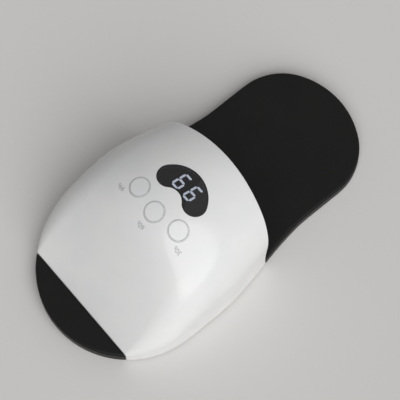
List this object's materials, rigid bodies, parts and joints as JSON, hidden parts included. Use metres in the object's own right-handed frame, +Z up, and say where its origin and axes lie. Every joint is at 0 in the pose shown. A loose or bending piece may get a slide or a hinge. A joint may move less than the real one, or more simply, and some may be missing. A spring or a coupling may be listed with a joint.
{
  "type": "hand and foot nail lamp",
  "caption": "Nail curing lamp for a hand or foot: an insole-shaped base plate under a lift-off domed hood with LED tunnel, display and press buttons.",
  "frame": {"origin": "on the floor under the middle of the base plate's length and width", "axes": "+Z up, +Y along the plate towards the closed toe end, -Y towards the open mouth and the hand rest, +X towards the power inlet's side"},
  "size_m": [0.1453, 0.29, 0.0931],
  "materials": {
    "black_abs": "satin moulded ABS, fine texture",
    "white_abs": "high gloss moulded ABS",
    "grey_abs": "fine moulded texture",
    "liner_silver": "vacuum metallised moulding",
    "mirror_sheet": "mirror film on a plastic sheet",
    "smoked_acrylic": "polished smoked acrylic",
    "button_white": "gloss moulded ABS with printed ring",
    "silicone": "matte silicone",
    "nickel": "nickel plate",
    "steel": "zinc plated steel",
    "board_white": "white solder mask",
    "board_green": "green solder mask",
    "led_lens": "clear epoxy with a faint violet tint",
    "part_black": "moulded component body",
    "capacitor_can": "sleeved aluminium can",
    "socket_ivory": "nylon",
    "plunger_beige": "moulded plunger",
    "brass": "turned and plated",
    "lead_grey": "PVC sheath"
  },
  "bodies": {
    "base": {"base_tray": "black_abs", "mirror_plate": "mirror_sheet", "rubber_feet": "silicone", "base_magnets": "nickel"},
    "dome": {"outer_shell": "white_abs", "display_window": "smoked_acrylic", "mouth_bezel": "grey_abs", "inner_liner": "liner_silver", "bottom_frame": "grey_abs", "frame_screws": "steel", "shell_magnets": "nickel", "main_board": "board_green", "main_board_screws": "steel", "display_module": "part_black", "switch_bodies": "part_black", "control_chip": "part_black", "driver_chips": "part_black", "led_leads": "lead_grey", "power_lead": "lead_grey", "power_coil": "part_black", "capacitors": "capacitor_can", "lead_sockets": "socket_ivory", "led_board_top": "board_white", "led_board_front": "board_white", "led_board_left": "board_white", "led_board_right": "board_white", "led_lenses_top": "led_lens", "led_lenses_front": "led_lens", "led_lenses_left": "led_lens", "led_lenses_right": "led_lens", "led_board_screws": "steel", "dc_jack": "part_black", "jack_pin": "brass", "jack_nut": "nickel"},
    "left_button": {"button_left": "button_white", "switch_plunger_left": "plunger_beige"},
    "middle_button": {"button_middle": "button_white", "switch_plunger_middle": "plunger_beige"},
    "right_button": {"button_right": "button_white", "switch_plunger_right": "plunger_beige"}
  },
  "joints": [
    {"name": "dome_lift", "type": "slide", "parent": "base", "child": "dome", "axis": [0, 0, 1], "range_m": [0, 0.06]},
    {"name": "left_button_press", "type": "slide", "parent": "dome", "child": "left_button", "axis": [0, 0, -1], "range_m": [0, 0.0005], "stiffness_N_per_m": 400, "springref_m": -0.002},
    {"name": "middle_button_press", "type": "slide", "parent": "dome", "child": "middle_button", "axis": [0, 0, -1], "range_m": [0, 0.0005], "stiffness_N_per_m": 400, "springref_m": -0.002},
    {"name": "right_button_press", "type": "slide", "parent": "dome", "child": "right_button", "axis": [0, 0, -1], "range_m": [0, 0.0005], "stiffness_N_per_m": 400, "springref_m": -0.002}
  ]
}
